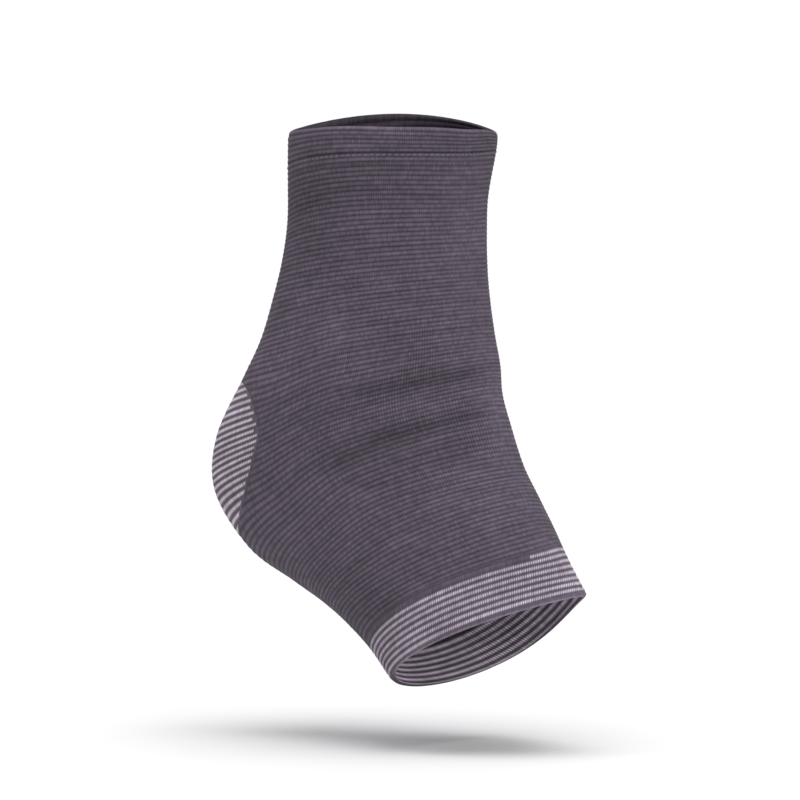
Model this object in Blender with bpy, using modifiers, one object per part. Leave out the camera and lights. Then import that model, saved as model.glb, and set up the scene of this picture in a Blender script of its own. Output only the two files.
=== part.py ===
"""Ankle support sleeve, knitted in one tube, in the form that it takes on a pointed foot.

Metres. +X runs to the toes, +Z up the leg, and the foot's middle plane is Y = 0.
The origin is the ankle's centre, on the axis of the leg.
"""
import math

import bmesh
import bpy
from mathutils import Vector

# Reach of the sleeve from the ankle's centre
LEG_RISE = 0.110
TOE_DROP = 0.094
HEEL_REACH = 0.078
TOE_REACH = 0.093

# Widths across the tube, side to side
LEG_WIDTH = 0.0800
ANKLE_WIDTH = 0.0635
FOOT_WIDTH = 0.0790

# Knitted walls: single fabric, and the two doubled welts
BODY_WALL = 0.0013
HEEL_WALL = 0.0013
CUFF_WALL = 0.0021
TOE_WALL = 0.0018
SEAM_GAP = 0.0003

# Relief of the raised ribs, and the rounding of the welts' edges
RIB_RELIEF = 0.00025
PLAIN_END_RIBS = 0.75
EDGE_ROUND = 0.0006

# Ribs counted from the top rim to the toe rim, and where each zone ends
ALL_RIBS = 112.0
HEM_RIB = 6.0
BAND_RIB = 102.5

# The heel panel: its middle rib, the ribs it spans each way, and its half angle
HEEL_RIB = 58.5
HEEL_RIBS_EACH_WAY = 12.0
HEEL_HALF_ANGLE = math.radians(70.0)
HEEL_SQUARENESS = 2.5

# Facets
AROUND = 34
BODY_ROWS = 35
HEEL_ROWS = 24
HEEL_ACROSS = 12
ROWS_A_RIB = 2

# Rings of the tube, one row for each.
# rib: the rib that lies there, counted from the top rim
# back_x, front_x: where the ring meets the middle plane, in shares of HEEL_REACH behind
#   the ankle and of TOE_REACH before it
# back_z, front_z: the same heights, in shares of LEG_RISE above the ankle and of
#   TOE_DROP below it
# half_width: half the ring's width
# egg: how much wider the ring is towards the heel and sole than towards the shin
# saddle: how far the ring stands up the tube from its own plane, in shares of the half
#   width, and saddle_at: the angle round the tube, in degrees, where it stands highest
RING_COLUMNS = ("rib", "back_x", "back_z", "front_x", "front_z", "half_width", "egg",
                "saddle", "saddle_at")
RINGS = (
    (0.0, -0.446, 1.000, 0.426, 0.992, 0.500 * LEG_WIDTH, 0.00, 0.115, 128.0),
    (6.0, -0.450, 0.865, 0.423, 0.933, 0.494 * LEG_WIDTH, 0.00, 0.088, 100.0),
    (16.0, -0.466, 0.674, 0.396, 0.780, 0.463 * LEG_WIDTH, 0.00, 0.110, 93.0),
    (24.0, -0.511, 0.553, 0.399, 0.666, 0.448 * LEG_WIDTH, 0.00, 0.070, 90.0),
    (32.0, -0.592, 0.424, 0.419, 0.551, 0.425 * LEG_WIDTH, 0.00, 0.045, 90.0),
    (40.0, -0.690, 0.277, 0.448, 0.445, 0.512 * ANKLE_WIDTH, 0.00, 0.045, 90.0),
    (48.0, -0.818, 0.144, 0.482, 0.337, 0.500 * ANKLE_WIDTH, 0.00, 0.020, 90.0),
    (56.0, -0.996, -0.070, 0.518, 0.240, 0.496 * ANKLE_WIDTH, 0.00, 0.005, 90.0),
    (64.0, -1.000, -0.290, 0.533, 0.142, 0.504 * ANKLE_WIDTH, 0.03, 0.030, 90.0),
    (72.0, -0.770, -0.505, 0.578, 0.032, 0.520 * ANKLE_WIDTH, 0.08, 0.130, 90.0),
    (80.0, -0.475, -0.620, 0.628, -0.103, 0.443 * FOOT_WIDTH, 0.12, 0.150, 90.0),
    (88.0, -0.250, -0.699, 0.688, -0.213, 0.468 * FOOT_WIDTH, 0.14, 0.080, 90.0),
    (96.0, -0.058, -0.780, 0.764, -0.332, 0.483 * FOOT_WIDTH, 0.20, 0.040, 90.0),
    (103.0, 0.092, -0.878, 0.863, -0.444, 0.456 * FOOT_WIDTH, 0.38, 0.130, 90.0),
    (112.0, 0.208, -0.988, 0.993, -0.587, 0.418 * FOOT_WIDTH, 0.59, 0.117, 90.0),
)

# Shallow creases that fan out from the bend at the front of the ankle, on both sides.
# front_rib, side_rib: the rib where the crease starts at the front and fades at the side
# reach: how far round it runs from the front, in degrees
# depth: in shares of the body's wall; ribs_wide: its half breadth
CREASE_COLUMNS = ("front_rib", "side_rib", "reach", "depth", "ribs_wide")
CREASES = (
    (58.0, 55.0, 95.0, 0.55, 2.4),
    (66.0, 62.5, 85.0, 0.65, 2.6),
    (73.0, 71.5, 75.0, 0.45, 2.2),
)

COLORS = {
    "charcoal_knit": (0.098, 0.082, 0.104),
    "pale_stripe_knit": (0.52, 0.49, 0.54),
}


def clear_scene():
    for old in list(bpy.data.objects):
        bpy.data.objects.remove(old, do_unlink=True)


def new_collection(name):
    collection = bpy.data.collections.new(name)
    bpy.context.scene.collection.children.link(collection)
    return collection


def knit_material(name, yarn):
    material = bpy.data.materials.new(name)
    material.use_nodes = True
    shader = material.node_tree.nodes["Principled BSDF"]
    shader.inputs["Base Color"].default_value = (*COLORS[yarn], 1.0)
    shader.inputs["Roughness"].default_value = 0.9
    shader.inputs["Metallic"].default_value = 0.0
    return material


def ring_lengths(row):
    """A row of the ring table with its shares turned to metres."""
    ring = dict(zip(RING_COLUMNS, row))
    for key in ("back_x", "front_x"):
        ring[key] *= HEEL_REACH if ring[key] < 0 else TOE_REACH
    for key in ("back_z", "front_z"):
        ring[key] *= LEG_RISE if ring[key] > 0 else TOE_DROP
    ring["saddle"] *= ring["half_width"]
    return ring


RING_LENGTHS = [ring_lengths(row) for row in RINGS]


def ring_slope(index, key):
    """Slope of one column at a ring, from the rings on its two sides."""
    before = RING_LENGTHS[max(index - 1, 0)]
    after = RING_LENGTHS[min(index + 1, len(RING_LENGTHS) - 1)]
    return (after[key] - before[key]) / (after["rib"] - before["rib"])


def ring_at(rib):
    """The ring at any rib, read from a smooth curve through the table's rings."""
    last = len(RING_LENGTHS) - 2
    index = next((i for i in range(last) if rib < RING_LENGTHS[i + 1]["rib"]), last)
    low, high = RING_LENGTHS[index], RING_LENGTHS[index + 1]
    span = high["rib"] - low["rib"]
    t = (rib - low["rib"]) / span
    blend = t * t * (3 - 2 * t)
    ease_in = t * (1 - t) ** 2 * span
    ease_out = t * t * (t - 1) * span
    ring = {}
    for key in RING_COLUMNS[1:]:
        ring[key] = (low[key] * (1 - blend) + high[key] * blend
                     + ring_slope(index, key) * ease_in
                     + ring_slope(index + 1, key) * ease_out)
    return ring


def crease_depth(rib, angle):
    """How far the creases pull the fabric in at a place on the tube."""
    depth = 0.0
    from_front = abs(math.degrees(math.atan2(math.sin(angle), math.cos(angle))))
    from_front = 180.0 - from_front
    for row in CREASES:
        crease = dict(zip(CREASE_COLUMNS, row))
        along = from_front / crease["reach"]
        if along < 1.0:
            middle = crease["front_rib"] + (crease["side_rib"] - crease["front_rib"]) * along
            across = (rib - middle) / crease["ribs_wide"]
            fade = 0.5 + 0.5 * math.cos(math.pi * along)
            depth += crease["depth"] * BODY_WALL * fade * math.exp(-across * across)
    return depth


def tube_point(rib, angle, proud=0.0):
    """A point of the sleeve's outer face. Angle 0 is the heel's side, 180 degrees the shin's."""
    ring = ring_at(rib)
    back = Vector((ring["back_x"], 0.0, ring["back_z"]))
    front = Vector((ring["front_x"], 0.0, ring["front_z"]))
    half_chord = (front - back) / 2
    up_tube = Vector((-half_chord.z, 0.0, half_chord.x)).normalized()
    half_width = ring["half_width"] * (1.0 + ring["egg"] * math.cos(angle))
    around = Vector((-math.cos(angle) * half_chord.length, math.sin(angle) * half_width))
    outward = Vector((-math.cos(angle) * half_width,
                      math.sin(angle) * half_chord.length)).normalized()
    around += outward * (proud - crease_depth(rib, angle))
    from_highest = angle - math.radians(ring["saddle_at"])
    point = (front + back) / 2 + half_chord.normalized() * around.x
    point += up_tube * ring["saddle"] * math.cos(from_highest) ** 2
    point.y = -around.y
    return point


def rib_relief(rib, first_rib, last_rib):
    """Raised ribs: one wave for each rib, and plain fabric at a zone's two ends."""
    if min(rib - first_rib, last_rib - rib) < PLAIN_END_RIBS:
        return 0.0
    return -RIB_RELIEF * (0.5 - 0.5 * math.cos(2 * math.pi * (rib - first_rib)))


def grid_mesh(rows, columns, place):
    """A grid primitive whose points are placed by a function of its two shares, 0 to 1."""
    mesh = bmesh.new()
    bmesh.ops.create_grid(mesh, x_segments=columns, y_segments=rows, size=0.5)
    for vert in mesh.verts:
        vert.co = place(vert.co.y + 0.5, vert.co.x + 0.5)
    bmesh.ops.remove_doubles(mesh, verts=mesh.verts, dist=0.00005)
    return mesh


def add_piece(name, mesh, collection, material=None):
    """Makes an object of a bmesh whose faces point away from the tube's hollow."""
    mesh.normal_update()
    outward = sum(face.normal.dot(face.calc_center_median() - hollow_centre(face))
                  for face in mesh.faces)
    if outward < 0:
        bmesh.ops.reverse_faces(mesh, faces=mesh.faces)
    data = bpy.data.meshes.new(name)
    mesh.to_mesh(data)
    mesh.free()
    data.shade_smooth()
    if material:
        data.materials.append(material)
    piece = bpy.data.objects.new(name, data)
    collection.objects.link(piece)
    return piece


def hollow_centre(face):
    """The middle of the tube's ring that lies nearest to a face."""
    place = face.calc_center_median()
    middles = []
    for ring in RING_LENGTHS:
        middle_x = (ring["back_x"] + ring["front_x"]) / 2
        middle_z = (ring["back_z"] + ring["front_z"]) / 2
        middles.append(Vector((middle_x, 0.0, middle_z)))
    return min(middles, key=lambda middle: (place - middle).length)


def add_wall(piece, thickness, offset=-1.0):
    wall = piece.modifiers.new("wall", "SOLIDIFY")
    wall.thickness = thickness
    wall.offset = offset
    wall.use_even_offset = True


def add_edge_round(piece, width):
    rounding = piece.modifiers.new("edge_round", "BEVEL")
    rounding.width = width
    rounding.segments = 2
    rounding.limit_method = "ANGLE"
    rounding.angle_limit = math.radians(65.0)


def add_tube_zone(name, first_rib, last_rib, rows, wall, collection, material, ribbed):
    """One zone of the tube, between two ribs, all the way round."""
    def place(row_share, around_share):
        rib = first_rib + (last_rib - first_rib) * row_share
        proud = rib_relief(rib, first_rib, last_rib) if ribbed else 0.0
        return tube_point(rib, math.pi + 2 * math.pi * around_share, proud)
    piece = add_piece(name, grid_mesh(rows, AROUND, place), collection, material)
    add_wall(piece, wall)
    return piece


def heel_half_angle(share):
    """Half angle of the heel panel's oval. Share runs from -1 at its top to 1 at its foot."""
    inside = max(0.0, 1.0 - abs(share) ** HEEL_SQUARENESS)
    return HEEL_HALF_ANGLE * math.sqrt(inside)


def heel_patch(margin):
    """The oval of the heel panel, made larger or smaller by a margin all round."""
    rib_pitch = (LEG_RISE + TOE_DROP) / ALL_RIBS
    ribs_each_way = HEEL_RIBS_EACH_WAY + margin / rib_pitch
    extra_angle = margin / ANKLE_WIDTH

    def place(row_share, across_share):
        share = -math.cos(math.pi * row_share)
        rib = HEEL_RIB + ribs_each_way * share
        half_angle = heel_half_angle(share)
        half_angle += extra_angle * half_angle / HEEL_HALF_ANGLE
        return tube_point(rib, half_angle * (2 * across_share - 1))
    return grid_mesh(HEEL_ROWS, HEEL_ACROSS, place)


def cut_heel_window(body, cutters):
    """Opens the body's back for the heel panel, a seam's gap wider than the panel."""
    cutter = add_piece("heel_window_cutter", heel_patch(0.0), cutters)
    add_wall(cutter, 8 * BODY_WALL, offset=0.0)
    cutter.hide_render = True
    cutter.display_type = "WIRE"
    window = body.modifiers.new("heel_window", "BOOLEAN")
    window.operation = "DIFFERENCE"
    window.object = cutter


def add_heel_panel(collection, material):
    panel = add_piece("heel_panel", heel_patch(-SEAM_GAP), collection, material)
    add_wall(panel, HEEL_WALL)
    return panel


def gap_in_ribs(rib):
    """The seam's gap as a share of a rib, from the tube's own length there."""
    step = tube_point(rib + 0.5, math.pi / 2) - tube_point(rib - 0.5, math.pi / 2)
    return SEAM_GAP / step.length


def build():
    clear_scene()
    sleeve = new_collection("ankle_support_sleeve")
    cutters = new_collection("cutters")

    cuff = add_tube_zone("top_cuff", 0.0, HEM_RIB, int(HEM_RIB * ROWS_A_RIB), CUFF_WALL,
                         sleeve, knit_material("cuff_knit", "charcoal_knit"), True)
    add_edge_round(cuff, EDGE_ROUND)

    body = add_tube_zone("sleeve_body", HEM_RIB + gap_in_ribs(HEM_RIB),
                         BAND_RIB - gap_in_ribs(BAND_RIB), BODY_ROWS, BODY_WALL,
                         sleeve, knit_material("body_knit", "charcoal_knit"), False)
    cut_heel_window(body, cutters)
    add_heel_panel(sleeve, knit_material("heel_knit", "pale_stripe_knit"))

    band = add_tube_zone("toe_band", BAND_RIB, ALL_RIBS,
                         int((ALL_RIBS - BAND_RIB) * ROWS_A_RIB), TOE_WALL,
                         sleeve, knit_material("toe_knit", "pale_stripe_knit"), True)
    add_edge_round(band, EDGE_ROUND)


build()
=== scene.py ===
"""Looks of the ankle support sleeve: ribs and stitches of the knit, its striped yarns and hem.

The tube's form is a table of rings with no straight or round run in it, which edit-mode
operators on a primitive can't follow. So each knitted piece starts as a grid primitive
whose points the rings place, and is then cut, welded and walled with operators.
"""
import functools
import math

import bpy
import numpy as np
from mathutils import Matrix, Vector


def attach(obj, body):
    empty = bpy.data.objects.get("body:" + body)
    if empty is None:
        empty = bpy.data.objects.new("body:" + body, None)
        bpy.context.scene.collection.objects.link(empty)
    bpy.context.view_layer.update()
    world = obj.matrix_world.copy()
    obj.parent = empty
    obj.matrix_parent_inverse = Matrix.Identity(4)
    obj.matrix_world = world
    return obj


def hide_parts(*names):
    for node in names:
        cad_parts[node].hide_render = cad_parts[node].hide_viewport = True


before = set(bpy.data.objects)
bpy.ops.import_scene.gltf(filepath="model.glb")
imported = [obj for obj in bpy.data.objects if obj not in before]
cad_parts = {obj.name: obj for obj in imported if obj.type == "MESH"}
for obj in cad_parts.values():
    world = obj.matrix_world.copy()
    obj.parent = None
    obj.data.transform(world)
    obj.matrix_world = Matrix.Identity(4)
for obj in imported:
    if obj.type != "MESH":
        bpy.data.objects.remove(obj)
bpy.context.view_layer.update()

MM = 0.001

# Driving sizes: how far the sleeve reaches from the ankle's centre, and its three widths
LEG_RISE = 110.0 * MM
TOE_DROP = 94.0 * MM
HEEL_REACH = 78.0 * MM
TOE_REACH = 93.0 * MM
LEG_WIDTH = 80.0 * MM
ANKLE_WIDTH = 63.5 * MM
FOOT_WIDTH = 79.0 * MM

# Zones of the tube, in ribs counted from the top rim to the toe rim
ALL_RIBS = 112.0
HEM_RIB = 6.0
BAND_RIB = 101.2
HEEL_RIB = 59.3
HEEL_RIBS_EACH_WAY = 11.2
# The heel panel's half angle in its middle and at its blunt ends, and the powers that give
# its edge its curve
HEEL_HALF_ANGLE = math.radians(70.5)
HEEL_END_ANGLE = math.radians(16.0)
HEEL_FULLNESS = 1.8
HEEL_BLUNTNESS = 0.3
# Needles of the knitting machine: every course has this many stitches, 0.85 mm apart
NEEDLES = 288

BODY_WALL = 1.3 * MM
CUFF_WALL = 2.1 * MM
BAND_WALL = 1.8 * MM

# The rings down the tube. Where the back and front of each lie is given in shares of the
# reaches, the rise and the drop. Then come its half width, how much fuller it is behind,
# how far it bows as a share of its half width, and at which angle in degrees
RING_COLUMNS = ("rib", "back_x", "back_z", "front_x", "front_z", "half_width", "egg",
                "saddle", "saddle_at")
RINGS = (
    (0.0, -0.446, 1.000, 0.426, 0.992, 0.500 * LEG_WIDTH, 0.00, 0.115, 128.0),
    (6.0, -0.450, 0.865, 0.423, 0.933, 0.494 * LEG_WIDTH, 0.00, 0.088, 100.0),
    (16.0, -0.466, 0.674, 0.396, 0.780, 0.463 * LEG_WIDTH, 0.00, 0.110, 93.0),
    (24.0, -0.511, 0.553, 0.399, 0.666, 0.448 * LEG_WIDTH, 0.00, 0.070, 90.0),
    (32.0, -0.592, 0.424, 0.419, 0.551, 0.425 * LEG_WIDTH, 0.00, 0.045, 90.0),
    (40.0, -0.690, 0.277, 0.448, 0.445, 0.512 * ANKLE_WIDTH, 0.00, 0.045, 90.0),
    (48.0, -0.818, 0.144, 0.482, 0.337, 0.500 * ANKLE_WIDTH, 0.00, 0.020, 90.0),
    (56.0, -0.996, -0.070, 0.518, 0.240, 0.496 * ANKLE_WIDTH, 0.00, 0.005, 90.0),
    (64.0, -1.000, -0.290, 0.533, 0.142, 0.504 * ANKLE_WIDTH, 0.03, 0.030, 90.0),
    (72.0, -0.770, -0.505, 0.578, 0.032, 0.520 * ANKLE_WIDTH, 0.08, 0.130, 90.0),
    (80.0, -0.475, -0.620, 0.628, -0.103, 0.443 * FOOT_WIDTH, 0.12, 0.150, 90.0),
    (88.0, -0.250, -0.699, 0.688, -0.213, 0.468 * FOOT_WIDTH, 0.14, 0.080, 90.0),
    (96.0, -0.058, -0.780, 0.764, -0.332, 0.483 * FOOT_WIDTH, 0.20, 0.040, 90.0),
    (103.0, 0.092, -0.878, 0.863, -0.444, 0.456 * FOOT_WIDTH, 0.38, 0.130, 90.0),
    (112.0, 0.208, -0.988, 0.993, -0.587, 0.418 * FOOT_WIDTH, 0.59, 0.117, 90.0),
)

# Soft creases at the bend: where each runs, how many degrees it reaches back from the
# front, how deep it is in walls, and its half breadth
CREASE_COLUMNS = ("front_rib", "side_rib", "reach", "depth", "ribs_wide")
CREASES = (
    (58.4, 56.4, 95.0, 0.55, 2.4),
    (68.2, 68.8, 105.0, 0.60, 2.6),
    (75.0, 73.5, 75.0, 0.20, 2.2),
)
# Shares of a crease's reach: where it starts on the far side, over how much it deepens,
# and where it eases and ends
FAR_CREASE_START = 0.55
CREASE_DEEPENS = 0.2
CREASE_EASES = 0.45
CREASE_ENDS = 0.98

# The welts' rims turn in, by how much and over how many ribs
TOP_TUCK = 0.9 * MM
TOP_TUCK_RIBS = 2.0
TOE_TUCK = 0.5 * MM
TOE_TUCK_RIBS = 1.2

# The cuff hangs lower on its near side and lifts at the front: by how much, the angle in
# degrees where it does so most, and the half breadth, fading down to a rib
CUFF_SLOUCH = 1.3 * MM
SLOUCH_AT = 130.0
SLOUCH_BREADTH = 30.0
CUFF_LIFT = 0.9 * MM
LIFT_AT = 198.0
LIFT_BREADTH = 16.0
SLOUCH_RIBS = 10.0

# Courses run lower round the heel, by this many ribs: it grows and eases over ribs down
# the tube, and eases over angles round it
HEEL_SAG = 2.4
HEEL_SAG_GROWS = (30.0, 60.0)
HEEL_SAG_EASES = (72.0, 97.0)
HEEL_SAG_ANGLES = (math.radians(66), math.radians(106))
# Courses sag towards the sole before the toe band, by this many ribs, and ease at the rim
SOLE_SAG = 1.05
SOLE_SAG_GROWS = (94.0, 103.0)
SOLE_SAG_EASES = 110.8
# In front the courses lift before the toe band: by how many ribs, where they lift most,
# and the half breadth of the lift
FRONT_LIFT = 0.95
FRONT_LIFT_GROWS = (92.0, 101.5)
FRONT_LIFT_ANGLE = math.radians(200.0)
FRONT_LIFT_BREADTH = math.radians(28.0)

# Relief of the knit. Ribs are round, which the power under 1 gives, and flat knit keeps a
# fifth of their depth
RIB_DEPTH = 0.24 * MM
STRIPE_DEPTH = 0.35 * MM
BEAD_DEPTH = 0.16 * MM
BEAD_MIDDLE = 0.6
RIB_ROUNDNESS = 0.8
FLATTENING = 0.8

# Grids of the body and the heel panel, and how far the body's columns ease from its window
BODY_COLUMNS = 128
BODY_ROWS_A_RIB = 4
WINDOW_COLUMNS = 24
WINDOW_EASE_RIBS = 7.0
HEEL_ROWS_A_RIB = 5
HEEL_COLUMNS = 84
# Pale courses of the heel end a little unevenly, by up to this angle, and softly over a
# smaller one
RAGGED_EDGE = math.radians(1.6)
RAGGED_BLUR = 0.015

# Where the body's ribs are knitted flat: beside the heel, above the band and in front
DULL_EDGE = math.radians(2.6)
DULL_EDGE_STARTS = 0.15
DULL_ABOVE_BAND = 0.6
FRONT_DULLNESS = 0.5
FRONT_DULL_ANGLES = (math.radians(152), math.radians(182))
MOST_DULL = 0.8

# Rows of the welts' outer face, rim and inner face, and the ribs that a rim's curve takes
CUFF_ROWS = (36, 8, 30)
BAND_ROWS = (58, 8, 38)
RIM_RIBS = 0.5

# The toe band is knitted in a spiral, one course for each turn. Its pale yarn is in seven
# courses, which start along one line of stitches near the front and end a little past it
COURSE_RIBS = 1.18
PALE_COURSES = 7
FIRST_PALE_RIB = 101.66
START_ANGLE = math.radians(157.5)
RIM_START_ANGLE = math.radians(132.0)
YARN_OVERLAP = 0.2
POINTS_A_NEEDLE = 3
# Share of the pale courses' relief that the plain ones by the rim have, and that the dark
# ones above the pale have
PLAIN_RELIEF = 0.3
ABOVE_RELIEF = 0.7
# The courses above the pale ones are as dark as the body, and the last pale one is lighter
ABOVE_LIGHT = 0.76
ABOVE_DULL = 0.2
LAST_LIGHT = 1.12
# The inner layer of the toe welt is knitted looser, so its seven courses are broader.
# # Their ridges are painted lighter and their grooves darker, as painted light and shade
INNER_COURSE_RIBS = 1.48
INNER_PALE_FROM_RIM = 0.45
INNER_NEEDLES = 0.75
INNER_RELIEF_SHADING = 0.6
MEAN_RIDGE = 0.69

# How much darker the knit is painted in the creases, as painted shade
CREASE_SHADE = 0.62
# The rolled rims are painted lighter on the side that faces the light, as a painted
# # highlight, and darker on the other side, as painted shade
LIT_SIDE = math.radians(120)
NEAR_ROLL_HIGHLIGHT = 0.9
FAR_ROLL_SHADE = -0.55
# Two tight courses at the hem and below it are painted darker, as lines of painted shade:
# # the rib of each, and how much darker it is
HEM_SHADE_LINES = ((6.0, 0.35), (8.5, 0.20))
HEM_SHADE_RIBS = 0.4
# Places where the knit is painted lighter, and darker where the share is below 0: the
# # middle rib and angle of each, its half breadths, and how much lighter it is
TONE_PLACES = (
    (13.5, 95.0, 5.0, 60.0, -0.24),
    (3.0, 180.0, 4.0, 50.0, -0.16),
    (45.0, 75.0, 9.0, 45.0, 0.26),
    (72.0, 80.0, 12.0, 60.0, 0.08),
    (66.0, 180.0, 30.0, 28.0, 0.12),
)

# Linking stitches of the hem: how many there are, the rib that they lie on, the half sizes
# of one along, across and out, how much it slants, and how deep it sinks in
HEM_STITCHES = 108
HEM_STITCH_RIB = HEM_RIB + 0.55
STITCH_LENGTH = 0.72 * MM
STITCH_WIDTH = 0.34 * MM
STITCH_HEIGHT = 0.30 * MM
STITCH_SLANT = 0.35
STITCH_SINK = 0.16 * MM
LEG_AXIS_X = 2.0 * MM
# Steps up and round the tube that show how its face lies at a stitch
FACE_STEP_RIBS = 0.5
FACE_STEP_ANGLE = 0.02

# Each piece's flat map has its outer face in the lower part and its inner one in the upper
FLAT_SHARE = 0.495
INNER_FLAT_START = 0.505
WELD_DISTANCE = 0.002 * MM
SHARP_ANGLE = math.radians(78)
TURN_STEPS = 361

# Yarns: ridge and groove of the plain ribs and of the striped zones, the pale yarns and
# the linking yarn. Grooves are darker partly for the elastane that shows in them and
# partly as painted shade, and ridges are lighter as painted light
PLAIN_YARN = ("#625A66", "#453D49")
MIXED_YARN = ("#6A616E", "#5B535F")
HEEL_PALE_YARN = "#C4BAC4"
TOE_PALE_YARN = "#B8AEB9"
LINKING_YARN = "#6F6673"
# Textured nylon yarn is crimped, which hides nearly all of its gloss
YARN_ROUGHNESS = 0.9
YARN_SPECULAR = 0.2
# How the ridge's colour falls off to the groove's, the middle between them, and how much
# flat knit evens them out
RIDGE_FALL = 1.4
RIDGE_MIDDLE = 0.6
DULL_BLENDS = 0.85
# Height on the ridge from which the pale yarn covers it
THREAD_TOP = 0.92
# Mean height of a bead along its course
MEAN_BEAD = 0.64
# Streaks follow a length of yarn, some 20 needles long and one course wide
STREAK_SHAPE = (0.05, 0.9, 0.0)
# Widths of the patches of lighter fabric, and of those where the beads show more
PATCH_WIDTH = 26.3 * MM
BEADED_WIDTH = 18.2 * MM
# How much stitches, lengths of yarn and patches differ in tone
STITCH_SPREAD = 0.30
STREAK_SPREAD = 0.80
PATCH_SPREAD = 0.44
# Share of the beads' painted shade that always shows, how much more shows in the beaded
# patches, and how sharply those end
BEADS_LEAST = 0.10
BEADS_MORE = 0.52
BEADED_CONTRAST = 3.0
BEADED_OFFSET = -1.3
# Relief finer than the mesh: its strength and depth, and the beads' share of it
BUMP_STRENGTH = 0.5
BUMP_DISTANCE = 0.3 * MM
BEAD_BUMP = 0.4

MATHS = "ShaderNodeMath"
MIX = "ShaderNodeMix"
VECTORS = "ShaderNodeVectorMath"
ATTRIBUTE = "ShaderNodeAttribute"
NOISE = "ShaderNodeTexNoise"

# The photograph's view
PHOTO_AZIMUTH = math.radians(40.0)
PHOTO_ELEVATION = math.radians(4.0)
CAMERA_DISTANCE = 3.4
FRAME_WIDTH = 292.7 * MM
AIM_RIGHT = 4.4 * MM
AIM_UP = 11.0 * MM
SENSOR_WIDTH = 36.0

FLOOR_Z = -113.5 * MM
FLOOR_SIZE = 60.0
WORLD_STRENGTH = 0.25
# The overhead light is five soft lamps: how far each leans right and towards the camera,
# and its strength
OVERHEAD_LAMPS = (
    ("middle", 0.0, 0.0, 1.55),
    ("left", -0.45, 0.0, 0.5),
    ("right", 0.45, 0.0, 0.5),
    ("near", 0.0, 0.90, 0.48),
    ("far", 0.0, -0.90, 0.45),
)
OVERHEAD_HEIGHT = 2.0
OVERHEAD_SOFTNESS = math.radians(46.0)
# The side light: its power, its breadth, and how far right, up and towards the camera it is
SIDE_POWER = 15.8
SIDE_SIZE = 1.2
SIDE_PLACE = (1.7, 0.7, 1.8)


# The form of the tube

def ring_table():
    """The rings with their shares turned to metres, as one array for each column."""
    table = dict(zip(RING_COLUMNS, np.array(RINGS).T))
    for key in ("back_x", "front_x"):
        table[key] = table[key] * np.where(table[key] < 0, HEEL_REACH, TOE_REACH)
    for key in ("back_z", "front_z"):
        table[key] = table[key] * np.where(table[key] > 0, LEG_RISE, TOE_DROP)
    table["saddle"] = table["saddle"] * table["half_width"]
    return table


TABLE = ring_table()


def smooth(low, high, value):
    """Rises from 0 at low to 1 at high."""
    t = np.clip((value - low) / (high - low), 0, 1)
    return t * t * (3 - 2 * t)


def rings_at(ribs):
    """The rings at an array of ribs, from a smooth curve through the table's rings."""
    knots = TABLE["rib"]
    index = np.clip(np.searchsorted(knots, ribs, side="right") - 1, 0, len(knots) - 2)
    span = knots[index + 1] - knots[index]
    t = (ribs - knots[index]) / span
    blend = t * t * (3 - 2 * t)
    before = np.maximum(np.arange(len(knots)) - 1, 0)
    after = np.minimum(np.arange(len(knots)) + 1, len(knots) - 1)
    rings = {}
    for key in RING_COLUMNS[1:]:
        column = TABLE[key]
        slope = (column[after] - column[before]) / (knots[after] - knots[before])
        rings[key] = (column[index] * (1 - blend) + column[index + 1] * blend
                      + slope[index] * t * (1 - t) ** 2 * span
                      + slope[index + 1] * t * t * (t - 1) * span)
    return rings


def crease_depth(ribs, angles):
    """How far the creases at the ankle's bend pull the knit in, in walls."""
    from_front = 180.0 - np.abs(np.degrees(np.arctan2(np.sin(angles), np.cos(angles))))
    starts = np.where(np.sin(angles) < 0, FAR_CREASE_START, 0.0)
    depth = np.zeros(np.broadcast(ribs, angles).shape)
    for row in CREASES:
        crease = dict(zip(CREASE_COLUMNS, row))
        along = from_front / crease["reach"]
        middle = crease["front_rib"] + (crease["side_rib"] - crease["front_rib"]) * along
        across = (ribs - middle) / crease["ribs_wide"]
        fade = smooth(starts, starts + CREASE_DEEPENS, along)
        fade = fade * (1 - smooth(CREASE_EASES, CREASE_ENDS, along))
        depth += crease["depth"] * fade * np.exp(-across * across)
    return depth


def rim_tuck(ribs):
    """How far the welts' rims turn in at the ends, as elastic does."""
    top = np.clip(1 - ribs / TOP_TUCK_RIBS, 0, 1)
    toe = np.clip(1 - (ALL_RIBS - ribs) / TOE_TUCK_RIBS, 0, 1)
    return TOP_TUCK * top * top + TOE_TUCK * toe * toe


def cuff_slouch(ribs, angles):
    """How far the elastic top hangs lower on its near side and lifts at the front."""
    turn = np.degrees(np.mod(angles, 2 * np.pi))
    low = CUFF_SLOUCH * np.exp(-((turn - SLOUCH_AT) / SLOUCH_BREADTH) ** 2)
    high = CUFF_LIFT * np.exp(-((turn - LIFT_AT) / LIFT_BREADTH) ** 2)
    return (high - low) * (1 - smooth(0.0, SLOUCH_RIBS, ribs))


def course_at(ribs, angles):
    """The course at each place of the body and heel: round the heel the courses sag."""
    lower = smooth(*HEEL_SAG_GROWS, ribs) * (1 - smooth(*HEEL_SAG_EASES, ribs))
    return ribs - HEEL_SAG * lower * (1 - smooth(*HEEL_SAG_ANGLES, np.abs(angles)))


def sagged(ribs, angles):
    """Ribs as they lie before the toe band: lower towards the sole and lifted in front."""
    sag = smooth(*SOLE_SAG_GROWS, ribs) * (1 - smooth(SOLE_SAG_EASES, ALL_RIBS, ribs))
    rise = smooth(*FRONT_LIFT_GROWS, ribs) * (1 - smooth(FRONT_LIFT_GROWS[1], ALL_RIBS, ribs))
    off_front = (np.mod(angles, 2 * np.pi) - FRONT_LIFT_ANGLE) / FRONT_LIFT_BREADTH
    return (ribs + SOLE_SAG * sag * (0.5 + 0.5 * np.cos(angles))
            - FRONT_LIFT * rise * np.exp(-off_front * off_front))


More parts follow.
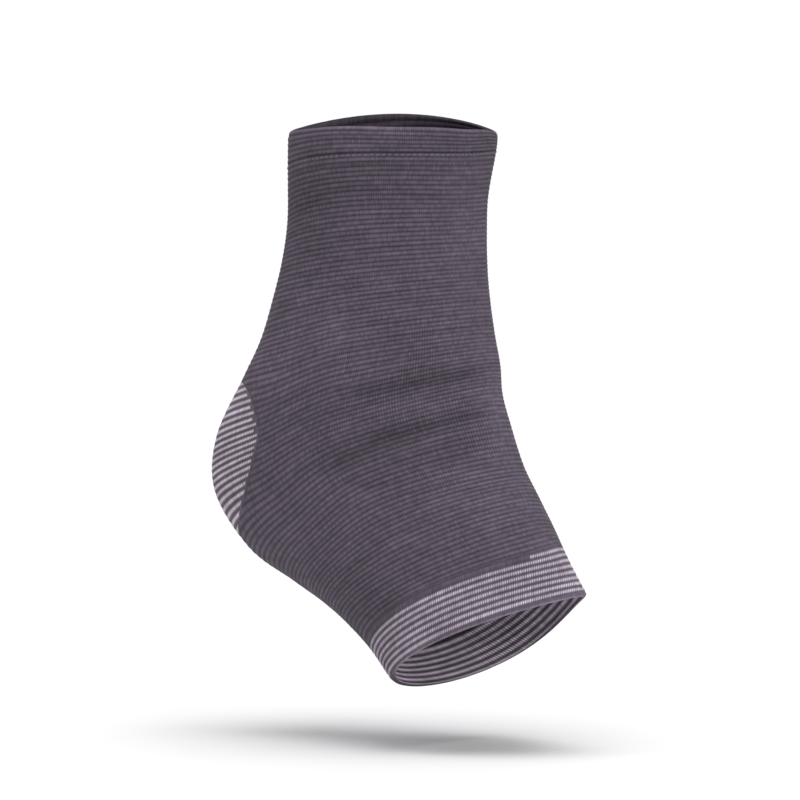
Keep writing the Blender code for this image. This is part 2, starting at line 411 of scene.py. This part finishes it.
def tube_points(ribs, angles, proud=0.0):
    """Points of the tube. Angle 0 is behind and 180 degrees in front. Arguments broadcast."""
    ribs = sagged(ribs, angles)
    ring = rings_at(ribs)
    half_x = (ring["front_x"] - ring["back_x"]) / 2
    half_z = (ring["front_z"] - ring["back_z"]) / 2
    half_chord = np.hypot(half_x, half_z)
    half_width = ring["half_width"] * (1 + ring["egg"] * np.cos(angles))
    out_chord = -np.cos(angles) * half_width
    out_side = np.sin(angles) * half_chord
    out_length = np.hypot(out_chord, out_side)
    push = proud - crease_depth(ribs, angles) * BODY_WALL - rim_tuck(ribs)
    along = -np.cos(angles) * half_chord + push * out_chord / out_length
    side = np.sin(angles) * half_width + push * out_side / out_length
    lift = ring["saddle"] * np.cos(angles - np.radians(ring["saddle_at"])) ** 2
    x = (ring["front_x"] + ring["back_x"]) / 2 + (half_x * along - half_z * lift) / half_chord
    z = (ring["front_z"] + ring["back_z"]) / 2 + (half_z * along + half_x * lift) / half_chord
    z = z + cuff_slouch(ribs, angles)
    return np.stack(np.broadcast_arrays(x, -side, z), axis=-1)


def stitch_scale(ribs, first_angle):
    """Angles all round from first_angle, and the needle that knitted each place there.
    Stitches are evenly spread round every course."""
    turn = np.linspace(0, 2 * np.pi, TURN_STEPS)
    dense = first_angle[:, None] + turn[None, :]
    steps = np.linalg.norm(np.diff(tube_points(ribs[:, None], dense), axis=1), axis=2)
    length = np.concatenate([np.zeros((len(ribs), 1)), np.cumsum(steps, axis=1)], axis=1)
    return dense, length / length[:, -1:] * NEEDLES


def needle_at(ribs, angles):
    """The needle of each place in rows of angles between -180 and 180 degrees."""
    dense, needles = stitch_scale(ribs, np.full(len(ribs), -np.pi))
    return np.stack([np.interp(a, d, n) for a, d, n in zip(angles, dense, needles)])


def angles_of_needles(ribs, first_angle, columns):
    """Rows of angles at even steps of needles from first_angle, once round."""
    dense, needles = stitch_scale(ribs, first_angle)
    wanted = np.linspace(0, NEEDLES, columns + 1)
    return np.stack([np.interp(wanted, n, d) for d, n in zip(dense, needles)]), wanted


# Knitted pieces

def select_only(piece):
    bpy.ops.object.select_all(action="DESELECT")
    piece.select_set(True)
    bpy.context.view_layer.objects.active = piece


def painted_shade_and_tone(ribs, angles, inside, light):
    """How light the yarn is painted at each place: darker in creases and along the hem's
    tight courses as painted shade, lighter on the rolled rims' near side as a painted
    highlight and darker on their far side as painted shade, and lighter or darker in the
    listed tone places."""
    inside = np.asarray(inside)
    roll = 4 * inside * (1 - inside)
    painted_roll_light = FAR_ROLL_SHADE + (NEAR_ROLL_HIGHLIGHT - FAR_ROLL_SHADE) * smooth(0.0, 0.5, np.cos(angles - LIT_SIDE))
    tone = (1 - CREASE_SHADE * crease_depth(ribs, angles)) * (1 + painted_roll_light * roll) * light
    for line_rib, shade in HEM_SHADE_LINES:
        off = (ribs - line_rib) / HEM_SHADE_RIBS
        tone = tone * (1 - shade * np.exp(-off * off))
    for rib, degrees, ribs_wide, degrees_wide, lighter in TONE_PLACES:
        down = (ribs - rib) / ribs_wide
        round_tube = (np.abs(np.degrees(angles)) - degrees) / degrees_wide
        tone = tone * (1 + lighter * np.exp(-down * down - round_tube * round_tube))
    return tone


def knit_piece(name, ribs, angles, needles, courses, proud, dull=0.0, inside=0.0, light=1.0):
    """A grid primitive laid on the tube, a row for each entry of ribs.

    The values that follow ribs broadcast to rows by columns. proud stands the points off
    the tube's face, dull is 1 where the ribs are knitted flat, inside is 1 on the inner
    face, and light scales the yarn's tone. The UV map knit counts needles and courses, and
    OFBake lays the grid out flat.
    """
    rows, columns = angles.shape
    bpy.ops.object.select_all(action="DESELECT")
    bpy.ops.mesh.primitive_grid_add(x_subdivisions=columns - 1, y_subdivisions=rows - 1,
                                    size=1.0)
    piece = bpy.context.object
    piece.name = name
    mesh = piece.data
    mesh.name = name
    place = np.empty(len(mesh.vertices) * 3)
    mesh.vertices.foreach_get("co", place)
    place = place.reshape(-1, 3)
    column = np.rint((place[:, 0] + 0.5) * (columns - 1)).astype(int)
    row = np.rint((place[:, 1] + 0.5) * (rows - 1)).astype(int)
    points = tube_points(ribs[:, None], angles, proud)
    mesh.vertices.foreach_set("co", points[row, column].ravel())

    def over_grid(values):
        return np.broadcast_to(values, (rows, columns))[row, column].astype(np.float32)

    tone = painted_shade_and_tone(ribs[:, None], angles, inside, light)
    for attribute, values in (("dull", dull), ("tone", tone), ("inside", inside)):
        data = mesh.attributes.new(attribute, "FLOAT", "POINT").data
        data.foreach_set("value", over_grid(values))

    corner = np.empty(len(mesh.loops), dtype=np.int32)
    mesh.loops.foreach_get("vertex_index", corner)
    knit = np.stack([over_grid(needles)[corner], over_grid(courses)[corner]], axis=-1)
    flat = np.stack([column[corner] / (columns - 1), row[corner] / (rows - 1)], axis=-1)
    mesh.uv_layers[0].name = "OFBake"
    mesh.uv_layers["OFBake"].data.foreach_set("uv", flat.ravel())
    mesh.uv_layers.new(name="knit").data.foreach_set("uv", knit.ravel())
    mesh.update()
    return piece


def weld(piece):
    """Joins the rows and columns of a grid that meet."""
    select_only(piece)
    bpy.ops.object.mode_set(mode="EDIT")
    bpy.ops.mesh.select_all(action="SELECT")
    bpy.ops.mesh.remove_doubles(threshold=WELD_DISTANCE)
    bpy.ops.mesh.normals_make_consistent(inside=False)
    bpy.ops.object.mode_set(mode="OBJECT")


def cut_window(piece, ribs, columns):
    """Deletes the faces of an open tube that the heel panel takes the place of."""
    mesh = piece.data
    flat = np.empty(len(mesh.loops) * 2)
    mesh.uv_layers["OFBake"].data.foreach_get("uv", flat)
    flat = flat.reshape(-1, 4, 2).mean(axis=1)
    face_rib = np.interp(flat[:, 1] * (len(ribs) - 1), np.arange(len(ribs)), ribs)
    off_middle = np.abs(flat[:, 0] * (columns - 1) - (columns - 1) / 2)
    window = (np.abs(face_rib - HEEL_RIB) < HEEL_RIBS_EACH_WAY) & (off_middle < WINDOW_COLUMNS)
    select_only(piece)
    bpy.ops.object.mode_set(mode="EDIT")
    bpy.ops.mesh.select_mode(type="FACE")
    bpy.ops.mesh.select_all(action="DESELECT")
    bpy.ops.object.mode_set(mode="OBJECT")
    mesh.polygons.foreach_set("select", window)
    bpy.ops.object.mode_set(mode="EDIT")
    bpy.ops.mesh.delete(type="FACE")
    bpy.ops.object.mode_set(mode="OBJECT")


def add_wall(piece, thickness):
    """Gives an open knitted face its inner face, with its own half of the flat map."""
    faces, points = len(piece.data.polygons), len(piece.data.vertices)
    wall = piece.modifiers.new("wall", "SOLIDIFY")
    wall.thickness = thickness
    wall.offset = -1.0
    select_only(piece)
    bpy.ops.object.modifier_apply(modifier="wall")
    mesh = piece.data
    flat = np.empty(len(mesh.loops) * 2)
    mesh.uv_layers["OFBake"].data.foreach_get("uv", flat)
    flat = flat.reshape(-1, 2)
    inner = np.arange(len(mesh.loops)) >= faces * 4
    flat[:, 1] = flat[:, 1] * FLAT_SHARE + np.where(inner, INNER_FLAT_START, 0.0)
    mesh.uv_layers["OFBake"].data.foreach_set("uv", flat.ravel())
    inside = (np.arange(len(mesh.vertices)) >= points).astype(np.float32)
    mesh.attributes["inside"].data.foreach_set("value", inside)


def finish_piece(piece, slot, material, *nodes):
    """Shades a piece smooth but for its wall's edges, and ties it to the frame."""
    piece.data.materials.clear()
    piece.data.materials.append(material)
    select_only(piece)
    bpy.ops.object.shade_smooth()
    bpy.ops.object.mode_set(mode="EDIT")
    bpy.ops.mesh.select_mode(type="EDGE")
    bpy.ops.mesh.select_all(action="DESELECT")
    bpy.ops.mesh.edges_select_sharp(sharpness=SHARP_ANGLE)
    bpy.ops.mesh.mark_sharp()
    bpy.ops.object.mode_set(mode="OBJECT")
    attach(piece, "root")
    if nodes:
        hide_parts(*nodes)


def ridge_at(courses):
    """1 on the crest of each rib and 0 in the groove at every whole course."""
    return np.abs(np.sin(np.pi * courses)) ** RIB_ROUNDNESS


def rib_wave(courses, depth, flatness=0.0):
    """Round ribs between narrow grooves, as depths below the tube's face."""
    return depth * (1 - FLATTENING * flatness) * (ridge_at(courses) - 1)


def heel_half_angle(ribs):
    """Half angle of the heel panel at each rib: blunt-ended and fullest in its middle."""
    share = np.clip(np.abs(ribs - HEEL_RIB) / HEEL_RIBS_EACH_WAY, 0, 1)
    half_angle = HEEL_HALF_ANGLE * (1 - share ** HEEL_FULLNESS) ** HEEL_BLUNTNESS
    return np.maximum(half_angle, HEEL_END_ANGLE)


def body_angles(ribs):
    """Angles of the body's columns: one column on each side follows the heel's window."""
    even = 2 * np.pi * WINDOW_COLUMNS / BODY_COLUMNS
    ease = smooth(0, WINDOW_EASE_RIBS, np.abs(ribs - HEEL_RIB) - HEEL_RIBS_EACH_WAY)
    edge = (heel_half_angle(ribs) * (1 - ease) + even * ease)[:, None]
    column = np.arange(BODY_COLUMNS + 1)[None, :] - BODY_COLUMNS / 2
    off = np.abs(column)
    past = (off - WINDOW_COLUMNS) / (BODY_COLUMNS / 2 - WINDOW_COLUMNS)
    angle = np.where(off <= WINDOW_COLUMNS, edge * off / WINDOW_COLUMNS,
                     edge + (np.pi - edge) * past)
    return np.sign(column) * angle


def body_dullness(ribs, angles):
    """The ribs fade out beside the heel panel and above the toe band, where yarns change,
    and are stretched flatter along the front."""
    rib = ribs[:, None]
    from_heel = np.abs(angles) - heel_half_angle(ribs)[:, None]
    beside = 1 - smooth(DULL_EDGE_STARTS, 1.0, from_heel / DULL_EDGE)
    beside *= 1 - smooth(0, 1.0, np.abs(rib - HEEL_RIB) - HEEL_RIBS_EACH_WAY)
    above = smooth(BAND_RIB - DULL_ABOVE_BAND, BAND_RIB, rib)
    front = FRONT_DULLNESS * smooth(*FRONT_DULL_ANGLES, np.abs(angles))
    return np.clip(beside + above + front, 0, 1) * MOST_DULL


def make_body(material):
    """The plain ribbed tube, from the hem to the toe band, open behind for the heel."""
    rows = int(round((BAND_RIB - HEM_RIB) * BODY_ROWS_A_RIB)) + 1
    ribs = np.linspace(HEM_RIB, BAND_RIB, rows)
    angles = body_angles(ribs)
    dull = body_dullness(ribs, angles)
    courses = course_at(ribs[:, None], angles)
    piece = knit_piece("sleeve_body_knit", ribs, angles, needle_at(ribs, angles), courses,
                       rib_wave(courses, RIB_DEPTH, dull), dull)
    cut_window(piece, ribs, BODY_COLUMNS + 1)
    weld(piece)
    add_wall(piece, BODY_WALL)
    finish_piece(piece, "body_knit", material, "sleeve_body")


def make_heel(material):
    """The heel panel, on the same ribs as the body round it."""
    rows = int(round(2 * HEEL_RIBS_EACH_WAY * HEEL_ROWS_A_RIB)) + 1
    ribs = np.linspace(HEEL_RIB - HEEL_RIBS_EACH_WAY, HEEL_RIB + HEEL_RIBS_EACH_WAY, rows)
    half_angle = heel_half_angle(ribs)[:, None]
    angles = half_angle * np.linspace(-1, 1, HEEL_COLUMNS + 1)[None, :]
    from_edge = half_angle - np.abs(angles)
    courses = course_at(ribs[:, None], angles)
    ends = RAGGED_EDGE * np.random.default_rng(5).random(int(ALL_RIBS))[courses.astype(int)]
    dull = 1 - smooth(ends, ends + RAGGED_BLUR, from_edge)
    piece = knit_piece("heel_panel_knit", ribs, angles, needle_at(ribs, angles), courses,
                       rib_wave(courses, RIB_DEPTH), dull)
    weld(piece)
    add_wall(piece, BODY_WALL)
    finish_piece(piece, "heel_knit", material, "heel_panel")


def welt_rows(seam_rib, rim_rib, wall, outer_rows, rim_rows, inner_rows):
    """A doubled welt's closed section: down its outer face, round the rim and back up its
    inner face. Gives each row's rib, how far it stands off, and 1 on the inner face."""
    towards = np.sign(rim_rib - seam_rib)
    rim_start = rim_rib - towards * RIM_RIBS
    turn = np.linspace(0, np.pi, rim_rows + 1)[1:-1]
    ribs = np.concatenate([np.linspace(seam_rib, rim_start, outer_rows),
                           rim_start + towards * RIM_RIBS * np.sin(turn),
                           np.linspace(rim_start, seam_rib, inner_rows), [seam_rib]])
    proud = np.concatenate([np.zeros(outer_rows), wall / 2 * (np.cos(turn) - 1),
                            np.full(inner_rows, -wall), [0.0]])
    inner = np.concatenate([np.zeros(outer_rows), 0.5 - 0.5 * np.cos(turn),
                            np.ones(inner_rows), [0.0]])
    return ribs, proud[:, None], inner[:, None]


def make_cuff(material):
    """The doubled welt at the top, with a rib for each course and a rolled rim."""
    ribs, proud, inner = welt_rows(HEM_RIB, 0.0, CUFF_WALL, *CUFF_ROWS)
    angles, needles = angles_of_needles(ribs, np.full(len(ribs), -np.pi), NEEDLES)
    wave = rib_wave(ribs[:, None], RIB_DEPTH) * (1 - 2 * inner)
    piece = knit_piece("top_cuff_knit", ribs, angles, needles, ribs[:, None], proud + wave,
                       inside=inner)
    weld(piece)
    finish_piece(piece, "cuff_knit", material, "top_cuff")


def pale_yarn(courses, turn):
    """1 within the courses that have the pale yarn, and 0 outside them."""
    last = PALE_COURSES + (turn < YARN_OVERLAP)
    return ((courses > 0) & (courses < last)).astype(float)


def make_band(material):
    """The welt round the toes: beaded pale courses in a spiral, then a plain rolled rim."""
    ribs, proud, inner = welt_rows(BAND_RIB, ALL_RIBS, BAND_WALL, *BAND_ROWS)
    slant = (ribs - BAND_RIB) / (ALL_RIBS - BAND_RIB)
    first_angle = START_ANGLE + (RIM_START_ANGLE - START_ANGLE) * slant
    angles, needles = angles_of_needles(ribs, first_angle, NEEDLES * POINTS_A_NEEDLE)
    turn = needles[None, :] / NEEDLES
    on_inside = inner > 0.5
    outer = (ribs[:, None] - FIRST_PALE_RIB) / COURSE_RIBS - turn
    within = PALE_COURSES - (ALL_RIBS - INNER_PALE_FROM_RIM - ribs[:, None]) / INNER_COURSE_RIBS
    courses = np.where(on_inside, within, outer)
    pale = pale_yarn(courses, turn)
    needles = needles[None, :] * np.where(on_inside, INNER_NEEDLES, 1.0)
    bead = np.abs(np.sin(np.pi * needles)) - BEAD_MIDDLE
    ridge = ridge_at(courses)
    above = (courses < 0) & ~on_inside
    last = (courses > PALE_COURSES - 1) & (courses < PALE_COURSES) & ~on_inside
    light = np.where(above, ABOVE_LIGHT, np.where(last, LAST_LIGHT, 1.0))
    # The inner courses' ridges are painted lighter and grooves darker, as painted light and
    # shade
    light = np.where(on_inside, 1 + INNER_RELIEF_SHADING * (ridge - MEAN_RIDGE), light)
    relief = np.where(above, ABOVE_RELIEF, PLAIN_RELIEF + (1 - PLAIN_RELIEF) * pale)
    wave = (ridge - 1) * STRIPE_DEPTH * relief + BEAD_DEPTH * bead * ridge * pale
    piece = knit_piece("toe_band_knit", ribs, angles, needles, courses,
                       proud + wave * (1 - 2 * inner), np.where(above, ABOVE_DULL, 1 - pale),
                       inside=inner, light=light)
    weld(piece)
    finish_piece(piece, "toe_knit", material, "toe_band")


def stitch_place(angle):
    """Where one slanted linking stitch lies on the hem, as a matrix with its half sizes."""
    ribs = np.array([HEM_STITCH_RIB, HEM_STITCH_RIB - FACE_STEP_RIBS, HEM_STITCH_RIB])
    angles = np.array([angle, angle, angle + FACE_STEP_ANGLE])
    here, above, beside = tube_points(ribs, angles)
    along = Vector(beside - here).normalized()
    out = along.cross(Vector(above - here)).normalized()
    if out.dot(Vector((here[0] - LEG_AXIS_X, here[1], 0))) < 0:
        out = -out
    along = (along + out.cross(along).normalized() * STITCH_SLANT).normalized()
    up = out.cross(along).normalized()
    turn = Matrix((along * STITCH_LENGTH, up * STITCH_WIDTH, out * STITCH_HEIGHT)).transposed()
    return Matrix.Translation(Vector(here) - out * STITCH_SINK) @ turn.to_4x4()


def make_hem_stitches(material):
    """Linking stitches under the cuff: small slanted beads of yarn, evenly round the leg."""
    angles, _ = angles_of_needles(np.array([HEM_STITCH_RIB]), np.array([-np.pi]), HEM_STITCHES)
    bpy.ops.object.select_all(action="DESELECT")
    bpy.ops.mesh.primitive_uv_sphere_add(segments=8, ring_count=6, radius=1.0)
    first = bpy.context.object
    first.name = "hem_stitches"
    stitches = [first] + [first.copy() for _ in range(HEM_STITCHES - 1)]
    shape = first.data.copy()
    for stitch, angle in zip(stitches, angles[0]):
        stitch.data = shape.copy()
        stitch.data.transform(stitch_place(angle))
        if stitch is not first:
            bpy.context.scene.collection.objects.link(stitch)
    bpy.data.meshes.remove(shape)
    bpy.ops.object.select_all(action="DESELECT")
    for stitch in stitches:
        stitch.select_set(True)
    bpy.context.view_layer.objects.active = first
    bpy.ops.object.join()
    first.data.name = "hem_stitches"
    select_only(first)
    bpy.ops.object.mode_set(mode="EDIT")
    bpy.ops.mesh.select_all(action="SELECT")
    bpy.ops.mesh.normals_make_consistent(inside=False)
    bpy.ops.object.mode_set(mode="OBJECT")
    finish_piece(first, "cuff_knit", material)


# Materials

def linear(hex_colour):
    """An sRGB hex colour as the linear values that Blender's sockets take."""
    channels = [int(hex_colour[i:i + 2], 16) / 255 for i in (1, 3, 5)]
    return [c / 12.92 if c <= 0.04045 else ((c + 0.055) / 1.055) ** 2.4 for c in channels] + [1]


def add_node(tree, kind, sources=(), out=0, **settings):
    """Adds a node with its settings and links, and gives one of its outputs. sources are
    the output sockets or values for its inputs, in order or keyed by input."""
    node = tree.nodes.new(kind)
    for key, value in settings.items():
        setattr(node, key, value)
    pairs = sources.items() if isinstance(sources, dict) else enumerate(sources)
    for key, source in pairs:
        if isinstance(source, bpy.types.NodeSocket):
            tree.links.new(source, node.inputs[key])
        else:
            node.inputs[key].default_value = source
    return node.outputs[out]


def matt_material(name, roughness, specular, colour=None):
    """A material with a matt surface, and its shader node."""
    material = bpy.data.materials.new(name)
    material.use_nodes = True
    shader = material.node_tree.nodes["Principled BSDF"]
    shader.inputs["Roughness"].default_value = roughness
    shader.inputs["Specular IOR Level"].default_value = specular
    if colour:
        shader.inputs["Base Color"].default_value = linear(colour)
    return material, shader


def knit_material(name, ridge, groove, pale=None, pale_width=0.45, beads=0.25,
                  pale_courses=ALL_RIBS, inner_shade=0.2):
    """Rib knit of nylon over elastane. Ridges of bulky yarn are painted lighter and grooves
    darker, partly for the darker elastane that the grooves show and partly as painted light
    on the ridges and painted shade in the grooves. Each stitch is a small bead, painted
    lighter on top and darker between as painted shade of its relief. Ribs are about 1.8 mm
    and stitches 0.85 mm apart, as on the real knit.

    pale is the colour of the yarn that striped places have on their ridges, as wide as
    pale_width says, parted into beads as beads says, and in as many courses as pale_courses
    says. inner_shade is how much darker the inner face is painted, as painted shade inside
    the tube; below 0 it paints the inner face lighter, as painted light.
    """
    material, shader = matt_material(name, YARN_ROUGHNESS, YARN_SPECULAR)
    tree = material.node_tree
    node = functools.partial(add_node, tree)
    knit = node("ShaderNodeUVMap", uv_map="knit")
    needle = node("ShaderNodeSeparateXYZ", (knit,))
    course = node("ShaderNodeSeparateXYZ", (knit,), out=1)
    place = node("ShaderNodeTexCoord", out="Object")
    dull = node(ATTRIBUTE, out="Fac", attribute_name="dull")
    tone = node(ATTRIBUTE, out="Fac", attribute_name="tone")
    inside = node(ATTRIBUTE, out="Fac", attribute_name="inside")
    rib = node(MATHS, (course, math.pi), operation="MULTIPLY")
    rib = node(MATHS, (node(MATHS, (rib,), operation="SINE"),), operation="ABSOLUTE")
    bead = node(MATHS, (needle, math.pi), operation="MULTIPLY")
    bead = node(MATHS, (node(MATHS, (bead,), operation="SINE"),), operation="ABSOLUTE")

    # Ridge and groove yarns, with painted light on the ridges and painted shade in the
    #     # grooves, evened out where the knit is flat
    crisp = node(MATHS, (dull, -DULL_BLENDS, 1.0), operation="MULTIPLY_ADD")
    ridged = node(MATHS, (rib, RIDGE_MIDDLE), operation="SUBTRACT")
    ridged = node(MATHS, (ridged, crisp, RIDGE_MIDDLE), operation="MULTIPLY_ADD")
    ridged = node(MATHS, (ridged, RIDGE_FALL), operation="POWER")
    colour = node(MIX, {0: ridged, 6: linear(groove), 7: linear(ridge)}, out=2,
                  data_type="RGBA")
    if pale:
        # The pale yarn shows on the ridges alone, in the courses that have it
        thread = node(MATHS, (bead, beads, 1 - beads), operation="MULTIPLY_ADD")
        thread = node(MATHS, (rib, thread), operation="MULTIPLY")
        thread = node(MATHS, (thread, 1 / pale_width, 1 - THREAD_TOP / pale_width),
                      operation="MULTIPLY_ADD", use_clamp=True)
        for value, operation, limit in ((course, "GREATER_THAN", 0.0),
                                        (course, "LESS_THAN", pale_courses),
                                        (dull, "LESS_THAN", 0.5)):
            within = node(MATHS, (value, limit), operation=operation)
            thread = node(MATHS, (thread, within), operation="MULTIPLY")
        colour = node(MIX, {0: thread, 6: colour, 7: linear(pale)}, out=2, data_type="RGBA")

    # Every stitch, length of yarn and patch of the fabric differs a little in tone. Each bead
    #     # is painted lighter on top and darker between, as painted shade of the stitches'
    #     relief,
    #     # and more so in some patches
    stitch = node(VECTORS, (knit,), operation="FLOOR")
    speckle = node("ShaderNodeTexWhiteNoise", (stitch,), noise_dimensions="2D")
    length = node(VECTORS, (knit, STREAK_SHAPE), operation="MULTIPLY")
    streak = node(NOISE, {"Vector": length, "Scale": 1.0})
    patch = node(NOISE, {"Vector": place, "Scale": 1 / PATCH_WIDTH})
    beaded = node(NOISE, {"Vector": place, "Scale": 1 / BEADED_WIDTH})
    beaded = node(MATHS, (beaded, BEADED_CONTRAST, BEADED_OFFSET), operation="MULTIPLY_ADD",
                  use_clamp=True)
    beaded = node(MATHS, (beaded, BEADS_MORE, BEADS_LEAST), operation="MULTIPLY_ADD")
    shade = node(MATHS, (bead, MEAN_BEAD), operation="SUBTRACT")
    shade = node(MATHS, (shade, beaded, 1.0), operation="MULTIPLY_ADD")
    for value, spread in ((speckle, STITCH_SPREAD), (streak, STREAK_SPREAD),
                          (patch, PATCH_SPREAD)):
        varied = node(MATHS, (value, spread, 1 - spread / 2), operation="MULTIPLY_ADD")
        shade = node(MATHS, (shade, varied), operation="MULTIPLY")
    shade = node(MATHS, (shade, tone), operation="MULTIPLY")
    inner = node(MATHS, (inside, -inner_shade, 1.0), operation="MULTIPLY_ADD")
    shade = node(MATHS, (shade, inner), operation="MULTIPLY")
    toned = node("ShaderNodeHueSaturation", {"Value": shade, "Color": colour})
    tree.links.new(toned, shader.inputs["Base Color"])

    height = node(MATHS, (bead, BEAD_BUMP, 1 - BEAD_BUMP), operation="MULTIPLY_ADD")
    height = node(MATHS, (rib, height), operation="MULTIPLY")
    bump = node("ShaderNodeBump",
                {"Strength": BUMP_STRENGTH, "Distance": BUMP_DISTANCE, "Height": height})
    tree.links.new(bump, shader.inputs["Normal"])
    return material


# Stage

def camera_axes():
    """Right, up and towards-the-camera directions of the photograph's view."""
    a, e = PHOTO_AZIMUTH, PHOTO_ELEVATION
    right = Vector((math.cos(a), math.sin(a), 0))
    towards = Vector((math.sin(a) * math.cos(e), -math.cos(a) * math.cos(e), math.sin(e)))
    return right, towards.cross(right), towards


def add_camera():
    right, up, towards = camera_axes()
    data = bpy.data.cameras.new("photo_camera")
    data.sensor_width = SENSOR_WIDTH
    data.lens = data.sensor_width * CAMERA_DISTANCE / FRAME_WIDTH
    data.clip_end = 100.0
    camera = bpy.data.objects.new("photo_camera", data)
    bpy.context.scene.collection.objects.link(camera)
    turn = Matrix((right, up, towards)).transposed().to_4x4()
    target = right * AIM_RIGHT + up * AIM_UP
    camera.matrix_world = Matrix.Translation(target + towards * CAMERA_DISTANCE) @ turn
    bpy.context.scene.camera = camera


def add_light(name, kind, place, **settings):
    """A lamp at place that points at the sleeve."""
    data = bpy.data.lights.new(name, kind)
    for key, value in settings.items():
        setattr(data, key, value)
    light = bpy.data.objects.new(name, data)
    bpy.context.scene.collection.objects.link(light)
    light.location = place
    light.rotation_euler = (-Vector(place)).to_track_quat("-Z", "Y").to_euler()


def add_stage():
    """A pale paper floor under a wide overhead light, and a soft light from the right."""
    bpy.ops.object.select_all(action="DESELECT")
    bpy.ops.mesh.primitive_plane_add(size=FLOOR_SIZE, location=(0, 0, 0))
    floor = bpy.context.object
    floor.name = "floor"
    floor.data.transform(Matrix.Translation((0, 0, FLOOR_Z)))
    # Matt uncoated paper, which shows no sheen and looks white under these lamps
    paper, _ = matt_material("studio_paper", 1.0, 0.0, "#E9E9EA")
    floor.data.materials.append(paper)

    # The surroundings look as white as the paper, but light the sleeve only faintly
    world = bpy.data.worlds.new("studio")
    world.use_nodes = True
    seen = add_node(world.node_tree, "ShaderNodeLightPath", out="Is Camera Ray")
    strength = add_node(world.node_tree, MATHS, (seen, 1 - WORLD_STRENGTH, WORLD_STRENGTH),
                        operation="MULTIPLY_ADD")
    background = world.node_tree.nodes["Background"]
    background.inputs["Color"].default_value = (1, 1, 1, 1)
    world.node_tree.links.new(strength, background.inputs["Strength"])
    bpy.context.scene.world = world
    bpy.context.scene.view_settings.view_transform = "Standard"
    right, up, towards = camera_axes()
    for name, rightwards, nearer, power in OVERHEAD_LAMPS:
        lean = right * rightwards + towards * nearer
        add_light("overhead_%s" % name, "SUN", (Vector((0, 0, 1)) + lean) * OVERHEAD_HEIGHT,
                  energy=power, angle=OVERHEAD_SOFTNESS)
    rightwards, upwards, nearer = SIDE_PLACE
    add_light("side_light", "AREA", towards * nearer + right * rightwards + up * upwards,
              shape="DISK", size=SIDE_SIZE, energy=SIDE_POWER)


add_camera()
add_stage()
# Plain nylon rib knit: dark matt ribs with darker grooves between them
make_body(knit_material("nylon_rib_knit_body", *PLAIN_YARN))
# Rib knit with pale yarn laid in: smooth light stripes on the ribs
make_heel(knit_material("striped_rib_knit_heel", *MIXED_YARN, pale=HEEL_PALE_YARN,
                        pale_width=0.36))
# The body's knit again, doubled over elastic, so it is as dark and as matt
make_cuff(knit_material("nylon_rib_knit_cuff", *PLAIN_YARN))
# Looser striped knit, whose pale courses look like rows of beads
# Its inner face is painted lighter, as painted light inside the toe's opening
make_band(knit_material("striped_rib_knit_toe", *MIXED_YARN, pale=TOE_PALE_YARN, beads=0.5,
                        pale_courses=PALE_COURSES + 1.0, inner_shade=-0.25))
# Plain linking yarn, a little lighter than the knit that it ties down
make_hem_stitches(matt_material("linking_yarn", YARN_ROUGHNESS, YARN_SPECULAR,
                                LINKING_YARN)[0])
